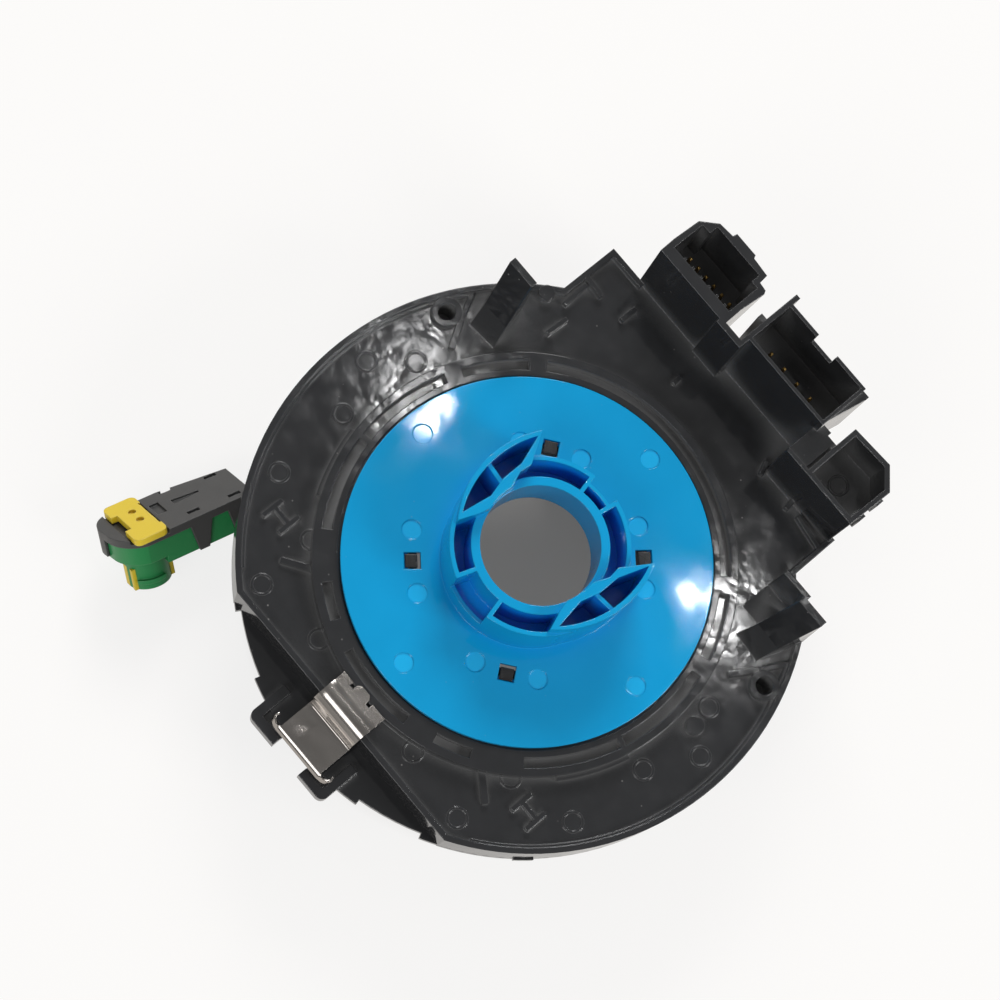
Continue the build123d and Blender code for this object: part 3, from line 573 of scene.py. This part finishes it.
# %% The airbag lead
LEAD_DIAMETER = 2.6 * MM
lead_route = [(-0.04478, -0.02806, -0.03414), (-0.04233, -0.01653, -0.03637), (-0.0415, 0.008, -0.0376),
              (-0.0385, 0.0292, -0.0378), (-0.016, 0.0292, -0.0378)]
lead_curve = bpy.data.curves.new("airbag_lead_curve", "CURVE")
lead_curve.dimensions = "3D"
lead_curve.bevel_depth = LEAD_DIAMETER / 2
lead_curve.bevel_resolution = 6
lead_curve.resolution_u = 24
lead_curve.use_fill_caps = True
line = lead_curve.splines.new("NURBS")
line.points.add(len(lead_route) - 1)
for point, place_at in zip(line.points, lead_route):
    point.co = (*place_at, 1)
line.order_u = 3
line.use_endpoint_u = True
lead = bpy.data.objects.new("airbag_lead_curve", lead_curve)
bpy.context.scene.collection.objects.link(lead)
print("lead on", len(lead_route), "points")

# %% Sheath of the lead, and the rotor that carries it
lead_black = moulded("lead_black", (0.015, 0.015, 0.016), (0.022, 0.022, 0.023), (0.05, 0.05, 0.05),
                     (0.45, 0.6), radius=0.0001)
lead_curve.materials.append(lead_black)
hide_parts("airbag_lead")
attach(lead, "rotor")

# %% [markdown]
# The part lies on its wheel-side posts on a pale floor, a wide plane with a nearly white, dull finish.
# More light would make it whiter, but it would bleach the part as well. Instead, rays from the camera,
# and mirror rays to a lesser degree, see it brighter than it is: the background stays white, the steel
# has something to reflect, and the shadow stays. Within a few centimetres of the axis, under the bore,
# that glow is cut back, a painted shade that keeps the floor darker there.

# %% The floor
FLOOR_Z = cad_low.z
FLOOR_GAP = 0.1 * MM
bpy.ops.object.select_all(action="DESELECT")
bpy.ops.mesh.primitive_plane_add(size=6.0, location=(0, 0, FLOOR_Z - FLOOR_GAP))
floor = bpy.context.object
floor.name = "floor"
print("floor at", round(FLOOR_Z, 4))

# %% Paper finish of the floor
MIRROR_SHARE = 0.5
paper, tree, surface = new_material("paper")
surface.inputs["Base Color"].default_value = (0.80, 0.75, 0.69, 1)
surface.inputs["Roughness"].default_value = 0.9
glow = place(tree, "ShaderNodeEmission", Strength=1.0)
rays = place(tree, "ShaderNodeLightPath")
mirrored = scaled(tree, MIRROR_SHARE)
either = place(tree, "ShaderNodeMath", operation="ADD", use_clamp=True)
spot = place(tree, "ShaderNodeTexCoord")
away = place(tree, "ShaderNodeVectorMath", operation="LENGTH")
# Near the axis the glow share drops, a painted shade on the floor under the part.
glow_beyond_painted_shade = place(tree, "ShaderNodeMapRange", From_Min=0.03, From_Max=0.05, To_Min=0.1, To_Max=0.8)
amount = place(tree, "ShaderNodeMath", operation="MULTIPLY")
mixed = place(tree, "ShaderNodeMixShader")
join(tree,
     (rays, "Is Glossy Ray", mirrored, 0),
     (rays, "Is Camera Ray", either, 0),
     (mirrored, "Value", either, 1),
     (spot, "Object", away, 0),
     (away, "Value", glow_beyond_painted_shade, "Value"),
     (either, "Value", amount, 0),
     (glow_beyond_painted_shade, "Result", amount, 1),
     (amount, "Value", mixed, "Fac"),
     (surface, "BSDF", mixed, 1),
     (glow, "Emission", mixed, 2),
     (mixed, "Shader", tree.nodes["Material Output"], "Surface"))
floor.data.materials.append(paper)
print("floor finish", paper.name)

# %% [markdown]
# The light is that of a workshop. Wide soft panels give the plain level, and an even world fills the
# shadows. Two groups of very small lamps overhead are what the polished sleeve and case mirror: a large
# lamp would leave a wide milky patch there, where small ones leave small bright spots and streaks.

# %% Lamps
def panel(name, place_at, aim, size, watts):
    """Square area lamp that faces a point."""
    lamp = bpy.data.lights.new(name, "AREA")
    lamp.size = size
    lamp.energy = watts
    holder = bpy.data.objects.new(name, lamp)
    holder.location = place_at
    holder.rotation_euler = (Vector(aim) - Vector(place_at)).to_track_quat("-Z", "Y").to_euler()
    bpy.context.scene.collection.objects.link(holder)
    return holder


LAMP_HEIGHT = 0.993
LAMP_SIZE = 0.011
LAMP_WATTS = 0.03
LAMP_AIM = (0, 0.015, 0)
LAMPS = {
    "left": ((-0.161, 0.279), (-0.145, 0.287), (-0.142, 0.274), (-0.178, 0.300)),
    "right": ((0.027, 0.326), (0.039, 0.337), (0.051, 0.338), (0.054, 0.330)),
}
panel("panel_far", (-0.7, 0.75, 0.75), (0, 0, 0), 0.5, 10.0)
panel("panel_right", (0.9, 0.3, 0.7), (0, 0, 0), 0.4, 6.0)
panel("panel_near", (0.1, -0.9, 0.8), (0, 0, 0), 0.6, 5.0)
for side, spots in LAMPS.items():
    for number, (x, y) in enumerate(spots):
        panel(f"lamp_{side}_{number}", (x, y, LAMP_HEIGHT), LAMP_AIM, LAMP_SIZE, LAMP_WATTS)

# %% World
WORLD_LEVEL = 0.26
world = bpy.data.worlds.new("room")
world.use_nodes = True
bpy.context.scene.world = world
backdrop = world.node_tree.nodes["Background"]
backdrop.inputs["Color"].default_value = (1, 1, 1, 1)
backdrop.inputs["Strength"].default_value = WORLD_LEVEL
bpy.context.scene.view_settings.view_transform = "Standard"
print("world level", WORLD_LEVEL)

# %% [markdown]
# The camera looks down on the column side of the part, turned so that the plug sockets are at the upper
# right. It could be aimed at a point by eye. Here its place, its two picture axes and its lens come from
# matching the round features of the photograph, because a circle shows a wrong tilt at once.

# %% Camera
CAMERA_AT = Vector((0.02156, -0.12684, 0.46688))
RIGHT = Vector((0.6445, 0.7477, 0.1597))
UP = Vector((-0.7616, 0.6095, 0.2201))
back = RIGHT.cross(UP).normalized()
camera = bpy.data.objects.new("camera", bpy.data.cameras.new("camera"))
camera.data.lens = 98.46
camera.data.sensor_width = 36.0
camera.data.clip_start = 0.01
camera.data.clip_end = 20.0
turn = Matrix((RIGHT, UP, back)).transposed()
camera.matrix_world = Matrix.Translation(CAMERA_AT) @ turn.to_4x4()
bpy.context.scene.collection.objects.link(camera)
bpy.context.scene.camera = camera
print("camera", [round(v, 3) for v in camera.location], "lens", round(camera.data.lens, 2))
